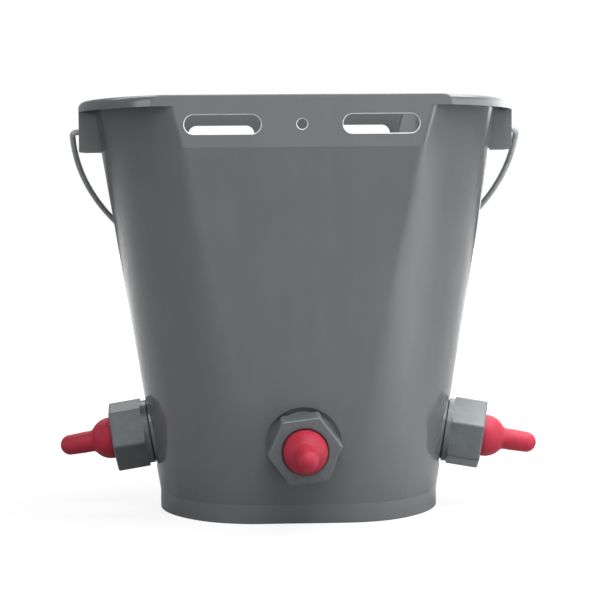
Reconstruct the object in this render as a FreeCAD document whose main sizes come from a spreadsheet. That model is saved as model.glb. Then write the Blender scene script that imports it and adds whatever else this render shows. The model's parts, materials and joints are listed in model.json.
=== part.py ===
import FreeCAD, Part
import math
import os
import Sketcher
from FreeCAD import Placement, Rotation, Vector

# Goat milk feeder bucket, in millimetres.
# +Z is up, the origin is on the floor at the middle of the foot, the front
# panel looks along -Y and the right-hand teat along +X.

doc = FreeCAD.newDocument("goat_feeder_bucket")
sheet = doc.addObject("Spreadsheet::Sheet", "sizes")


# Driving dimensions

class Size:
    """A size: its number, and the expression over the sheet that gives it."""

    def __init__(self, number, text):
        self.number = float(number)
        self.text = text

    def _with(self, other, sign, number):
        other_text = other.text if isinstance(other, Size) else repr(float(other))
        return Size(number, "(%s %s %s)" % (self.text, sign, other_text))

    def __add__(self, other):
        return self._with(other, "+", self.number + number_of(other))

    def __sub__(self, other):
        return self._with(other, "-", self.number - number_of(other))

    def __mul__(self, other):
        return self._with(other, "*", self.number * number_of(other))

    def __truediv__(self, other):
        return self._with(other, "/", self.number / number_of(other))

    def __neg__(self):
        return Size(-self.number, "(0 - %s)" % self.text)


def number_of(value):
    return value.number if isinstance(value, Size) else float(value)


sheet_rows = [0]


def cell(alias, value):
    """A driving dimension: one row of the sheet."""
    sheet_rows[0] += 1
    row = str(sheet_rows[0])
    sheet.set("A" + row, alias)
    sheet.set("B" + row, str(value))
    sheet.setAlias("B" + row, alias)
    return Size(value, "sizes." + alias)


def root(value):
    """The square root of a size."""
    return Size(math.sqrt(value.number), "sqrt(%s)" % value.text)


def sine(angle):
    return Size(math.sin(math.radians(angle.number)), "sin(%s * 1deg)" % angle.text)


def cosine(angle):
    return Size(math.cos(math.radians(angle.number)), "cos(%s * 1deg)" % angle.text)


def slope_angle(rise, run):
    """The angle, in degrees, whose tangent is rise over run."""
    number = math.degrees(math.atan2(rise.number, run.number))
    return Size(number, "(atan(%s / %s) / 1deg)" % (rise.text, run.text))


# shell: round sides, flat front and back panels, open top
height = cell("height", 279.5)
wall = cell("wall_thickness", 2.5)
foot_height = cell("foot_height", 12.5)
foot_radius = cell("foot_radius", 95.7)
foot_panel = cell("foot_panel_distance", 83.9)
foot_corner = cell("foot_corner_radius", 58)
band_height = cell("slot_band_height", 33.5)
panel = cell("panel_distance", 109.2)
panel_corner = cell("panel_corner_radius", 8)
rim_radius = cell("rim_radius", 139)
band_step = cell("band_radius_step", 5.4)
base_recess = cell("base_recess", 6)
base_thickness = cell("base_thickness", 3)
top_edge_round = cell("top_edge_round", 0.8)
floor_round = cell("floor_round", 1)

# rim flange on the round sides
flange_overhang = cell("flange_overhang", 9.9)
flange_centre = cell("flange_centre_offset", 10)
flange_depth = cell("flange_depth", 7.2)
flange_top = cell("flange_top_thickness", 2.5)
flange_round = cell("flange_edge_round", 4.5)

# ears for the bail
ear_width = cell("ear_width", 30)
ear_depth = cell("ear_depth", 34)
ear_wall = cell("ear_wall", 2.5)
ear_inset = cell("ear_inset", 0.8)
bail_drop = cell("bail_pivot_drop", 20)

# hanging slots and centre hole in both panels
slot_drop = cell("slot_centre_drop", 18.9)
slot_length = cell("slot_length", 48.9)
slot_height = cell("slot_height", 12.2)
slot_centre = cell("slot_centre_distance", 50.65)
hole_diameter = cell("hanging_hole_diameter", 6.6)
slot_chamfer = cell("slot_chamfer", 0.6)

# bail
bail_wire = cell("bail_wire_diameter", 4)
bail_clearance = cell("bail_hole_clearance", 0.06)
bail_bend = cell("bail_bend_radius", 3.5)
bail_side_gap = cell("bail_side_gap", 2.6)
bail_hook = cell("bail_hook_length", 3)
bail_rest_gap = cell("bail_rest_gap", 0.3)
bail_first_angle = cell("bail_first_angle", 35)

# teat units
unit_height = cell("unit_height", 52.5)
side_turn = cell("right_unit_turn", 7)
seat_margin = cell("seat_margin", 3.2)
seat_sink = cell("side_seat_sink", 1)
front_tilt = cell("front_seat_tilt", 3)
front_sink = cell("front_seat_sink", 1.5)
seat_thickness = cell("seat_thickness", 3.2)
wall_hole_clearance = cell("wall_hole_clearance", 0.5)
gasket_thickness = cell("outer_gasket_thickness", 1.2)
gasket_width = cell("outer_gasket_width", 3)
inner_gasket_thickness = cell("inner_gasket_thickness", 1.5)
inner_gasket_width = cell("inner_gasket_width", 3.5)
barrel_diameter = cell("barrel_diameter", 34)
thread_clearance = cell("thread_clearance", 0.2)
spigot_flange_width = cell("spigot_flange_width", 5)
spigot_flange_thickness = cell("spigot_flange_thickness", 3)
nut_wall = cell("nut_wall", 4)
nut_length = cell("nut_length", 26)
nut_corner_round = cell("nut_corner_round", 1.8)
nut_face_round = cell("nut_face_round", 1.4)
collar_wall = cell("collar_wall", 4.6)
collar_length = cell("collar_length", 3.8)
nut_lip = cell("nut_lip_thickness", 3)
nut_turn_front = cell("front_nut_turn", 37.4)
nut_turn_left = cell("left_nut_turn", 19)
nut_turn_right = cell("right_nut_turn", 10)

# non-return valve inside the barrel
inlet_diameter = cell("valve_inlet_diameter", 9)
inlet_length = cell("valve_inlet_length", 4)
barrel_wall = cell("barrel_wall", 3.2)
chamber_diameter = cell("valve_chamber_diameter", 18)
chamber_wall = cell("valve_chamber_wall", 1.8)
guide_diameter = cell("valve_guide_diameter", 13.8)
guide_width = cell("valve_guide_width", 1.6)
ball_diameter = cell("valve_ball_diameter", 13)
ball_travel = cell("valve_ball_travel", 2.8)
ball_gap = cell("valve_ball_gap", 0.3)
cage_thickness = cell("valve_cage_thickness", 2.5)
cage_rim = cell("valve_cage_rim", 1.8)
cage_bar = cell("valve_cage_bar", 2)

# teat
teat_flange_thickness = cell("teat_flange_thickness", 2.5)
teat_flange_clearance = cell("teat_flange_clearance", 0.3)
teat_hole_clearance = cell("teat_hole_clearance", 0.3)
teat_wall = cell("teat_wall", 2.2)
dome_radius = cell("dome_radius", 14.3)
dome_centre = cell("dome_centre_ahead", 1.5)
nipple_root_radius = cell("nipple_root_radius", 7.6)
nipple_tip_radius = cell("nipple_tip_radius", 6.95)
nipple_reach = cell("nipple_reach", 37.1)
nipple_fillet = cell("nipple_root_fillet", 3)
slit_length = cell("tip_slit_length", 5)
slit_width = cell("tip_slit_width", 0.4)

doc.recompute()

# levels worked out from the driving dimensions
band_level = height - band_height
band_radius = rim_radius - band_step
flange_reach = rim_radius + flange_overhang
ear_reach = flange_reach - ear_inset
side_slope = slope_angle(band_radius - foot_radius, band_level - foot_height)
floor_level = base_recess + base_thickness
pivot_level = height - bail_drop
slot_level = height - slot_drop
hole_clear = barrel_diameter + wall_hole_clearance * 2
thread_bore = barrel_diameter + thread_clearance * 2
nut_flats = thread_bore + nut_wall * 2
collar_diameter = thread_bore + collar_wall * 2
seat_radius = collar_diameter / 2 + seat_margin


# Helpers for bodies, sketches and features

def new_body(label):
    body = doc.addObject("PartDesign::Body", label)
    body.Label = label
    return body


def origin_part(body, role):
    for feature in body.Origin.OriginFeatures:
        if feature.Role == role:
            return feature
    raise RuntimeError("no " + role)


def bind(target, path, size):
    target.setExpression(path, size.text)


def new_sketch(body, name, plane="XY_Plane", level=None):
    """A sketch on one of the body's origin planes, lifted off it by level."""
    sketch = body.newObject("Sketcher::SketchObject", name)
    sketch.AttachmentSupport = (origin_part(body, plane), [""])
    sketch.MapMode = "FlatFace"
    if level is not None:
        sketch.AttachmentOffset = Placement(Vector(0, 0, level.number), Rotation())
        bind(sketch, "AttachmentOffset.Base.z", level)
    return sketch


def dimension(sketch, kind, places, size):
    """A sketch dimension bound to a size."""
    index = sketch.addConstraint(Sketcher.Constraint(kind, *places, size.number))
    bind(sketch, "Constraints[%d]" % index, size)


def hold(sketch, geometry, end, across, up):
    """Holds one end of a line or arc at a place measured from the origin."""
    for kind, size in (("DistanceX", across), ("DistanceY", up)):
        if number_of(size) == 0.0:
            axis = -2 if kind == "DistanceX" else -1
            sketch.addConstraint(Sketcher.Constraint("PointOnObject", geometry, end, axis))
        else:
            dimension(sketch, kind, (-1, 1, geometry, end), size)


def polygon(sketch, corners):
    """A closed outline of straight lines through corners, each a pair of sizes."""
    count = len(corners)
    points = [Vector(number_of(x), number_of(y), 0) for x, y in corners]
    lines = [sketch.addGeometry(Part.LineSegment(points[i], points[(i + 1) % count]), False)
             for i in range(count)]
    for i, line in enumerate(lines):
        sketch.addConstraint(Sketcher.Constraint("Coincident", line, 2, lines[(i + 1) % count], 1))
        hold(sketch, line, 1, *corners[i])
    return lines


def circle(sketch, radius, across=0.0, up=0.0):
    centre = Vector(number_of(across), number_of(up), 0)
    ring = sketch.addGeometry(Part.Circle(centre, Vector(0, 0, 1), radius.number), False)
    dimension(sketch, "Radius", (ring,), radius)
    hold(sketch, ring, 3, across, up)
    return ring


def slot(sketch, length, across_height, across, up):
    """A round-ended slot whose long side lies along the sketch's X."""
    half = (length - across_height) / 2
    end_radius = across_height / 2
    middle_x = number_of(across)
    middle_y = number_of(up)
    right = Vector(middle_x + half.number, middle_y, 0)
    left = Vector(middle_x - half.number, middle_y, 0)
    lift = Vector(0, end_radius.number, 0)
    quarter = math.pi / 2
    axis = Vector(0, 0, 1)
    right_circle = Part.Circle(right, axis, end_radius.number)
    left_circle = Part.Circle(left, axis, end_radius.number)
    right_end = sketch.addGeometry(Part.ArcOfCircle(right_circle, -quarter, quarter), False)
    top = sketch.addGeometry(Part.LineSegment(right + lift, left + lift), False)
    left_end = sketch.addGeometry(Part.ArcOfCircle(left_circle, quarter, 3 * quarter), False)
    bottom = sketch.addGeometry(Part.LineSegment(left - lift, right - lift), False)
    ring = (right_end, top, left_end, bottom)
    for i, edge in enumerate(ring):
        sketch.addConstraint(Sketcher.Constraint("Tangent", edge, 2, ring[(i + 1) % 4], 1))
    sketch.addConstraint(Sketcher.Constraint("Horizontal", top))
    dimension(sketch, "Radius", (right_end,), end_radius)
    hold(sketch, right_end, 3, half + across, up)
    dimension(sketch, "DistanceX", (left_end, 3, right_end, 3), half * 2)


def panelled_round(sketch, radius, distance, corner, centre=None):
    """A round outline with flat front and back panels and rounded corners between them.

    The side arcs are centred on the origin, or as far out as centre says.
    """
    offset = 0.0 if centre is None else centre.number
    r, p, c = radius.number, distance.number, corner.number
    half = offset + math.sqrt((r - c) ** 2 - (p - c) ** 2)
    lean = math.atan2(p - c, half - offset)
    axis = Vector(0, 0, 1)

    def arc(x, y, arc_radius, start, end):
        round_part = Part.Circle(Vector(x, y, 0), axis, arc_radius)
        return sketch.addGeometry(Part.ArcOfCircle(round_part, start, end), False)

    def line(x_start, y_start, x_end, y_end):
        ends = (Vector(x_start, y_start, 0), Vector(x_end, y_end, 0))
        return sketch.addGeometry(Part.LineSegment(*ends), False)

    right = math.pi / 2
    front = line(-half, -p, half, -p)
    front_right = arc(half, c - p, c, -right, -lean)
    right_side = arc(offset, 0, r, -lean, lean)
    back_right = arc(half, p - c, c, lean, right)
    back = line(half, p, -half, p)
    back_left = arc(-half, p - c, c, right, 2 * right - lean)
    left_side = arc(-offset, 0, r, 2 * right - lean, 2 * right + lean)
    front_left = arc(-half, c - p, c, 2 * right + lean, 3 * right)
    ring = (front, front_right, right_side, back_right, back, back_left, left_side, front_left)
    for i, edge in enumerate(ring):
        sketch.addConstraint(Sketcher.Constraint("Tangent", edge, 2, ring[(i + 1) % len(ring)], 1))
    sketch.addConstraint(Sketcher.Constraint("Horizontal", front))
    sketch.addConstraint(Sketcher.Constraint("Horizontal", back))
    sketch.addConstraint(Sketcher.Constraint("Equal", right_side, left_side))
    for other in (back_right, back_left, front_left):
        sketch.addConstraint(Sketcher.Constraint("Equal", front_right, other))
    hold(sketch, right_side, 3, 0.0 if centre is None else centre, 0.0)
    hold(sketch, left_side, 3, 0.0 if centre is None else -centre, 0.0)
    dimension(sketch, "Radius", (right_side,), radius)
    dimension(sketch, "Radius", (front_right,), corner)
    dimension(sketch, "DistanceY", (front, 1, -1, 1), distance)
    dimension(sketch, "DistanceY", (-1, 1, back, 1), distance)


def volume_of(body):
    doc.recompute()
    return body.Shape.Volume


def pad(body, sketch, length, reverse=False, middle=False):
    feature = body.newObject("PartDesign::Pad", sketch.Name + "_pad")
    feature.Profile = sketch
    feature.Length = length.number
    bind(feature, "Length", length)
    feature.Reversed = reverse
    feature.SideType = "Symmetric" if middle else "One side"
    sketch.Visibility = False
    return feature


def pocket(body, sketch, length, reverse=False, middle=False):
    """Cuts the sketch's outline into the body, and makes sure that it did cut."""
    before = volume_of(body)
    feature = body.newObject("PartDesign::Pocket", sketch.Name + "_pocket")
    feature.Profile = sketch
    feature.Length = length.number
    bind(feature, "Length", length)
    feature.Reversed = reverse
    feature.SideType = "Symmetric" if middle else "One side"
    if volume_of(body) > before - 1e-3:
        raise RuntimeError(sketch.Name + " cuts nothing")
    return feature


def revolve(body, sketch, cut=False):
    """Turns the sketch about its own upright axis."""
    kind = "PartDesign::Groove" if cut else "PartDesign::Revolution"
    feature = body.newObject(kind, sketch.Name + "_turned")
    feature.Profile = sketch
    feature.ReferenceAxis = (sketch, ["V_Axis"])
    feature.Angle = 360
    return feature


def loft(body, sketches, cut=False):
    kind = "PartDesign::SubtractiveLoft" if cut else "PartDesign::AdditiveLoft"
    feature = body.newObject(kind, sketches[0].Name + "_loft")
    feature.Profile = sketches[0]
    feature.Sections = list(sketches[1:])
    feature.Ruled = True
    return feature


def round_edges(body, name, radius, chosen, kind="Fillet"):
    """Fillets or chamfers the edges of the body's tip that chosen picks."""
    doc.recompute()
    base = body.Tip
    edges = ["Edge%d" % (i + 1) for i, edge in enumerate(base.Shape.Edges) if chosen(edge)]
    if not edges:
        raise RuntimeError(name + " finds no edge")
    feature = body.newObject("PartDesign::" + kind, name)
    feature.Base = (base, edges)
    path = "Radius" if kind == "Fillet" else "Size"
    setattr(feature, path, radius.number)
    bind(feature, path, radius)
    doc.recompute()
    return feature


def flat_at(edge, level):
    """Whether the edge lies level at that height."""
    box = edge.BoundBox
    return box.ZLength < 1e-3 and abs(box.ZMin - level) < 1e-3


def cylinder(body, name, radius, length, place, cut=False):
    """A cylinder added to or cut from the body, along place's own Z."""
    kind = "PartDesign::SubtractiveCylinder" if cut else "PartDesign::AdditiveCylinder"
    feature = body.newObject(kind, name)
    feature.Radius = radius.number
    feature.Height = length.number
    bind(feature, "Radius", radius)
    bind(feature, "Height", length)
    place(feature)
    return feature


def upright(level):
    """Sets a feature on its body's own axis at a level."""
    def place(target):
        bind(target, "Placement.Base.z", level)
    return place


def dome(body, name, radius, place, cut=False):
    """The outer half of a ball."""
    kind = "PartDesign::SubtractiveSphere" if cut else "PartDesign::AdditiveSphere"
    feature = body.newObject(kind, name)
    bind(feature, "Radius", radius)
    feature.Angle1 = 0
    place(feature)
    return feature


def cone(body, name, start_radius, end_radius, length, place, cut=False):
    feature = body.newObject("PartDesign::SubtractiveCone" if cut else "PartDesign::AdditiveCone", name)
    bind(feature, "Radius1", start_radius)
    bind(feature, "Radius2", end_radius)
    bind(feature, "Height", length)
    place(feature)
    return feature


# Where the three teat units sit

class UnitPlace:
    """The axis of one teat unit: square to its seat, and pointing a little down."""

    def __init__(self, name, turn, surface, slope, sink, nut_turn):
        self.name = name
        self.turn = turn
        self.surface = surface
        self.slope = slope
        self.sink = sink
        self.nut_turn = nut_turn

    def at(self, station):
        """Moves an object so that its own Z runs out along the axis, starting at station."""
        def place(target):
            out = cosine(self.slope) * station + self.surface
            level = unit_height - sine(self.slope) * station
            round_wall = Rotation(Vector(0, 0, 1), self.turn.number)
            tip_down = Rotation(Vector(0, 1, 0), 90 + self.slope.number)
            target.Placement = Placement(Vector(0, 0, 0), round_wall * tip_down)
            bind(target, "Placement.Base.x", out * cosine(self.turn))
            bind(target, "Placement.Base.y", out * sine(self.turn))
            bind(target, "Placement.Base.z", level)
        return place


unit_share = (unit_height - foot_height) / (band_level - foot_height)
side_surface = foot_radius + (band_radius - foot_radius) * unit_share
panel_surface = foot_panel + (panel - foot_panel) * unit_share
to_left = Size(180, "180")
to_front = Size(-90, "(0 - 90)")

units = (
    UnitPlace("left", to_left, side_surface, side_slope, seat_sink, nut_turn_left),
    UnitPlace("front", to_front, panel_surface, front_tilt, front_sink, nut_turn_front),
    UnitPlace("right", -side_turn, side_surface, side_slope, seat_sink, nut_turn_right),
)


# Bucket shell

def add_flange(body):
    """The rim flange with its turned-down lip, cut off level with the two panels."""
    base = height - flange_depth
    turned = flange_reach - flange_centre
    spare = flange_round * 2
    outline = new_sketch(body, "flange_outline", level=base)
    panelled_round(outline, turned, panel + spare, spare, flange_centre)
    pad(body, outline, flange_depth)

    def top_edge(edge):
        return flat_at(edge, height.number)

    round_edges(body, "flange_edge", flange_round, top_edge)
    for side, name in ((1.0, "back"), (-1.0, "front")):
        end = new_sketch(body, name + "_flange_end", level=base)
        near = panel * side
        far = (panel + spare * 2) * side
        polygon(end, (
            (-flange_reach, near),
            (flange_reach, near),
            (flange_reach, far),
            (-flange_reach, far),
        ))
        pocket(body, end, flange_depth, reverse=True)
    hollow = new_sketch(body, "flange_underside", level=base)
    panelled_round(hollow, turned - wall, panel - wall, top_edge_round, flange_centre)
    pocket(body, hollow, flange_depth - flange_top, reverse=True)


def add_ears(body):
    """Box ears under the flange, open below."""
    half = ear_width / 2
    root_across = band_radius - wall * 2
    for side, name in ((1.0, "right"), (-1.0, "left")):
        block = new_sketch(body, name + "_ear", level=height - ear_depth)
        near = root_across * side
        far = ear_reach * side
        polygon(block, ((near, -half), (far, -half), (far, half), (near, half)))
        pad(body, block, ear_depth - flange_round)
        hollow = new_sketch(body, name + "_ear_hollow", level=height - ear_depth)
        near = (root_across - wall) * side
        far = (ear_reach - ear_wall) * side
        inner = half - ear_wall
        polygon(hollow, ((near, -inner), (far, -inner), (far, inner), (near, inner)))
        pocket(body, hollow, ear_depth - flange_top, reverse=True)


def shell_section(body, name, level, radius, distance, corner, inset=0.0):
    sketch = new_sketch(body, name, level=level)
    panelled_round(sketch, radius - inset, distance - inset, corner - inset)
    return sketch


def add_walls(body):
    """The foot ring, and the tapering wall that turns upright at the slot band."""
    foot = shell_section(body, "foot_outline", None, foot_radius, foot_panel, foot_corner)
    pad(body, foot, foot_height)
    loft(body, (
        shell_section(body, "wall_foot", foot_height, foot_radius, foot_panel, foot_corner),
        shell_section(body, "wall_band", band_level, band_radius, panel, panel_corner),
        shell_section(body, "wall_rim", height, rim_radius, panel, panel_corner),
    ))


def cut_cavity(body):
    """The inside, one wall thickness in from the outer faces, and the recess under the base."""
    well = shell_section(body, "floor_outline", floor_level, foot_radius, foot_panel, foot_corner, wall)
    pocket(body, well, height, reverse=True)
    before = volume_of(body)
    loft(body, (
        shell_section(body, "cavity_foot", foot_height, foot_radius, foot_panel, foot_corner, wall),
        shell_section(body, "cavity_band", band_level, band_radius, panel, panel_corner, wall),
        shell_section(body, "cavity_rim", height, rim_radius, panel, panel_corner, wall),
    ), cut=True)
    if volume_of(body) > before - 1:
        raise RuntimeError("the cavity cuts nothing")
    recess = shell_section(body, "base_recess_outline", None, foot_radius, foot_panel, foot_corner, wall)
    pocket(body, recess, base_recess, reverse=True)


def add_seats(body):
    """A flat round seat at each teat unit, outside and inside, and the hole for its barrel."""
    for unit in units:
        outer_face = -unit.sink
        inner_face = outer_face - seat_thickness
        skin = wall / 4
        label = unit.name + "_seat"
        cylinder(body, label, seat_radius, seat_thickness - skin, unit.at(inner_face))
        cylinder(body, label + "_rim", seat_radius, skin * 2, unit.at(outer_face - skin * 2))
        cylinder(body, label + "_face", seat_radius, seat_thickness, unit.at(outer_face), cut=True)
        behind = unit.at(inner_face - seat_thickness)
        cylinder(body, label + "_back", seat_radius, seat_thickness, behind, cut=True)
        through = unit.at(inner_face - seat_thickness)
        cylinder(body, label + "_hole", hole_clear / 2, seat_thickness * 3, through, cut=True)


def cut_hanging_holes(body):
    """A pair of slots and a round hole between them, through both panels."""
    through = panel * 2 + wall
    for side, name in ((1.0, "right"), (-1.0, "left")):
        opening = new_sketch(body, name + "_slot", "XZ_Plane")
        slot(opening, slot_length, slot_height, slot_centre * side, slot_level)
        pocket(body, opening, through, middle=True)
    centre = new_sketch(body, "hanging_hole", "XZ_Plane")
    circle(centre, hole_diameter / 2, 0.0, slot_level)
    pocket(body, centre, through, middle=True)


def finish_edges(body):
    """Rounds the top rim, the foot and the corner round the floor, and bevels the hanging holes."""
    face = panel.number
    low = (slot_level - slot_height / 2).number - 0.1
    high = (slot_level + slot_height / 2).number + 0.1

    def hanging_edge(edge):
        box = edge.BoundBox
        on_face = box.YLength < 1e-3 and abs(abs(box.YMin) - face) < 1e-3
        return on_face and box.ZMin > low and box.ZMax < high

    def floor_edge(edge):
        return flat_at(edge, floor_level.number)

    def foot_edge(edge):
        return flat_at(edge, 0.0)

    def top_edge(edge):
        box = edge.BoundBox
        straight = box.YLength < 1e-3 and abs(box.YMin) > face - 2 * wall.number
        return flat_at(edge, height.number) and (straight or edge.Length > 5)

    round_edges(body, "hanging_bevel", slot_chamfer, hanging_edge, kind="Chamfer")
    round_edges(body, "floor_rounding", floor_round, floor_edge)
    round_edges(body, "foot_rounding", top_edge_round, foot_edge)
    round_edges(body, "top_rounding", top_edge_round, top_edge)


def cut_bail_holes(body):
    """The bail turns in a hole through the outer plate of each ear."""
    for side, name in ((1.0, "right"), (-1.0, "left")):
        hole = new_sketch(body, name + "_bail_hole", "YZ_Plane", (ear_reach - ear_wall * 2) * side)
        circle(hole, bail_wire / 2 + bail_clearance, 0.0, pivot_level)
        pocket(body, hole, ear_wall * 4, reverse=side > 0)


# Stations along a teat unit, counted outwards from its outer seat

at_seat = Size(0, "0")
nut_back = gasket_thickness
nut_face = nut_back + nut_length
lip_back = nut_face - nut_lip
barrel_end = lip_back - teat_flange_thickness
spigot_seat = -(seat_thickness + inner_gasket_thickness)
spigot_back = spigot_seat - spigot_flange_thickness
valve_seat = spigot_back + inlet_length
ball_radius = ball_diameter / 2
inlet_radius = inlet_diameter / 2
ball_closed = valve_seat + root(ball_radius * ball_radius - inlet_radius * inlet_radius) + ball_gap
ball_open = ball_closed + ball_travel
cage_back = ball_open + ball_radius + ball_gap
cage_face = cage_back + cage_thickness
barrel_radius = barrel_diameter / 2
chamber_radius = chamber_diameter / 2


def make_ring(label, inner_radius, outer_radius, back, face, place):
    """A flat ring about the unit's axis."""
    body = new_body(label)
    section = new_sketch(body, label + "_section", "XZ_Plane")
    polygon(section, (
        (inner_radius, back),
        (outer_radius, back),
        (outer_radius, face),
        (inner_radius, face),
    ))
    revolve(body, section)
    place(body)
    return body


def make_spigot(unit, place):
    """The threaded barrel, with its flange inside the bucket and the valve chamber within it."""
    body = new_body(unit.name + "_spigot")
    section = new_sketch(body, unit.name + "_spigot_section", "XZ_Plane")
    bore = barrel_radius - barrel_wall
    sleeve = chamber_radius + chamber_wall
    flange = barrel_radius + spigot_flange_width
    polygon(section, (
        (inlet_radius, spigot_back),
        (flange, spigot_back),
        (flange, spigot_seat),
        (barrel_radius, spigot_seat),
        (barrel_radius, barrel_end),
        (bore, barrel_end),
        (bore, spigot_seat),
        (sleeve, spigot_seat),
        (sleeve, cage_face),
        (chamber_radius, cage_face),
        (chamber_radius, valve_seat),
        (inlet_radius, valve_seat),
    ))
    revolve(body, section)
    rib = new_sketch(body, unit.name + "_guide_rib", level=valve_seat)
    half = guide_width / 2
    near = guide_diameter / 2
    far = chamber_radius + chamber_wall / 2
    polygon(rib, ((near, -half), (far, -half), (far, half), (near, half)))
    rib_pad = pad(body, rib, cage_back - valve_seat)
    pattern = body.newObject("PartDesign::PolarPattern", unit.name + "_guide_ribs")
    pattern.Originals = [rib_pad]
    pattern.Axis = (rib, ["N_Axis"])
    pattern.Angle = 360
    pattern.Occurrences = 4
    body.Tip = pattern
    place(body)
    return body


def make_cage(unit, place):
    """The stop that keeps the ball in its chamber: a ring with one bar across."""
    body = new_body(unit.name + "_valve_cage")
    rim = new_sketch(body, unit.name + "_cage_rim", level=cage_back)
    circle(rim, chamber_radius)
    pad(body, rim, cage_thickness)
    window_radius = chamber_radius - cage_rim
    half_bar = cage_bar / 2
    opening = new_sketch(body, unit.name + "_cage_opening", level=cage_back)
    circle(opening, window_radius)
    pocket(body, opening, cage_thickness, reverse=True)
    bar = new_sketch(body, unit.name + "_cage_bar", level=cage_back)
    end = window_radius + cage_rim / 2
    polygon(bar, ((-end, -half_bar), (end, -half_bar), (end, half_bar), (-end, half_bar)))
    pad(body, bar, cage_thickness)
    place(body)
    return body


def make_nut(unit, place):
    """The hexagonal cap nut: round collar at the wall, lip over the teat's flange at the face."""
    label = unit.name + "_cap_nut"
    body = new_body(label)
    collar = new_sketch(body, label + "_collar", level=nut_back)
    circle(collar, collar_diameter / 2)
    pad(body, collar, collar_length)
    hexagon = new_sketch(body, label + "_hexagon", level=nut_back + collar_length)
    corner_radius = nut_flats / math.sqrt(3)
    corners = []
    for corner in range(6):
        angle = unit.nut_turn + 60 * corner
        corners.append((corner_radius * cosine(angle), corner_radius * sine(angle)))
    polygon(hexagon, corners)
    pad(body, hexagon, nut_length - collar_length)
    face_level = nut_face.number
    hex_depth = (nut_length - collar_length).number

    def corner_edge(edge):
        return abs(edge.Length - hex_depth) < 1e-4

    def face_edge(edge):
        return all(abs(vertex.Z - face_level) < 1e-4 for vertex in edge.Vertexes)

    round_edges(body, label + "_corners", nut_corner_round, corner_edge)
    round_edges(body, label + "_face", nut_face_round, face_edge)
    bore = new_sketch(body, label + "_bore", level=nut_back)
    circle(bore, thread_bore / 2)
    pocket(body, bore, nut_length - nut_lip, reverse=True)
    mouth = new_sketch(body, label + "_mouth", level=nut_back)
    circle(mouth, dome_radius + teat_hole_clearance)
    pocket(body, mouth, nut_length, reverse=True)
    place(body)
    return body


def make_teat(unit, place):
    """The rubber teat: clamped flange, domed base, tapered nipple with a crossed slit in its tip."""
    label = unit.name + "_teat"
    body = new_body(label)
    dome_level = nut_face + dome_centre
    tip_level = nut_face + nipple_reach - nipple_tip_radius
    nipple_length = tip_level - dome_level
    flange_radius = barrel_radius - teat_flange_clearance

    cylinder(body, label + "_flange", flange_radius, teat_flange_thickness, upright(barrel_end))
    cylinder(body, label + "_neck", dome_radius, dome_level - lip_back, upright(lip_back))
    dome(body, label + "_dome", dome_radius, upright(dome_level))
    start = upright(dome_level)
    cone(body, label + "_nipple", nipple_root_radius, nipple_tip_radius, nipple_length, start)
    dome(body, label + "_tip", nipple_tip_radius, upright(tip_level))
    inner_root = nipple_root_radius - teat_wall
    root_rise = root(dome_radius * dome_radius - nipple_root_radius * nipple_root_radius)
    root_level = (dome_level + root_rise).number

    def nipple_root(edge):
        box = edge.BoundBox
        near_root = abs(box.XLength - 2 * nipple_root_radius.number) < 1
        around = near_root and abs(box.YLength - box.XLength) < 1e-3
        return around and box.ZLength < 1e-3 and abs(box.ZMin - root_level) < 0.5

    round_edges(body, label + "_root", nipple_fillet, nipple_root)
    inside = dome_radius - teat_wall
    cylinder(body, label + "_bore", inside, dome_level - barrel_end, upright(barrel_end), cut=True)
    dome(body, label + "_dome_inside", inside, upright(dome_level), cut=True)
    inner_tip = nipple_tip_radius - teat_wall
    cone(body, label + "_milk_way", inner_root, inner_tip, nipple_length, upright(dome_level), cut=True)
    dome(body, label + "_tip_inside", inner_tip, upright(tip_level), cut=True)
    for turn, way in ((0, "slit"), (90, "cross_slit")):
        box = body.newObject("PartDesign::SubtractiveBox", label + "_" + way)
        long_side, short_side = ("Length", "Width") if turn == 0 else ("Width", "Length")
        bind(box, long_side, slit_length)
        bind(box, short_side, slit_width)
        bind(box, "Height", nipple_tip_radius)
        along, over = (slit_length, slit_width) if turn == 0 else (slit_width, slit_length)
        bind(box, "Placement.Base.x", -(along / 2))
        bind(box, "Placement.Base.y", -(over / 2))
        bind(box, "Placement.Base.z", tip_level + inner_tip / 2)
    place(body)
    return body


def make_ball(unit, place):
    ball = doc.addObject("Part::Sphere", unit.name + "_valve_ball")
    ball.Label = unit.name + "_valve_ball"
    bind(ball, "Radius", ball_radius)
    place(ball)
    return ball


def make_unit(unit):
    """All the pieces of one teat unit, from the inside of the bucket outwards."""
    seat = unit.at(-unit.sink)
    hole = hole_clear / 2
    inner_edge = hole + inner_gasket_width
    outer_edge = hole + gasket_width
    return [
        make_spigot(unit, seat),
        make_ring(unit.name + "_inner_gasket", hole, inner_edge, spigot_seat, -seat_thickness, seat),
        make_ring(unit.name + "_outer_gasket", hole, outer_edge, at_seat, nut_back, seat),
        make_ball(unit, unit.at(ball_open - unit.sink)),
        make_cage(unit, seat),
        make_nut(unit, seat),
        make_teat(unit, seat),
    ]


# Bail

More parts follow.
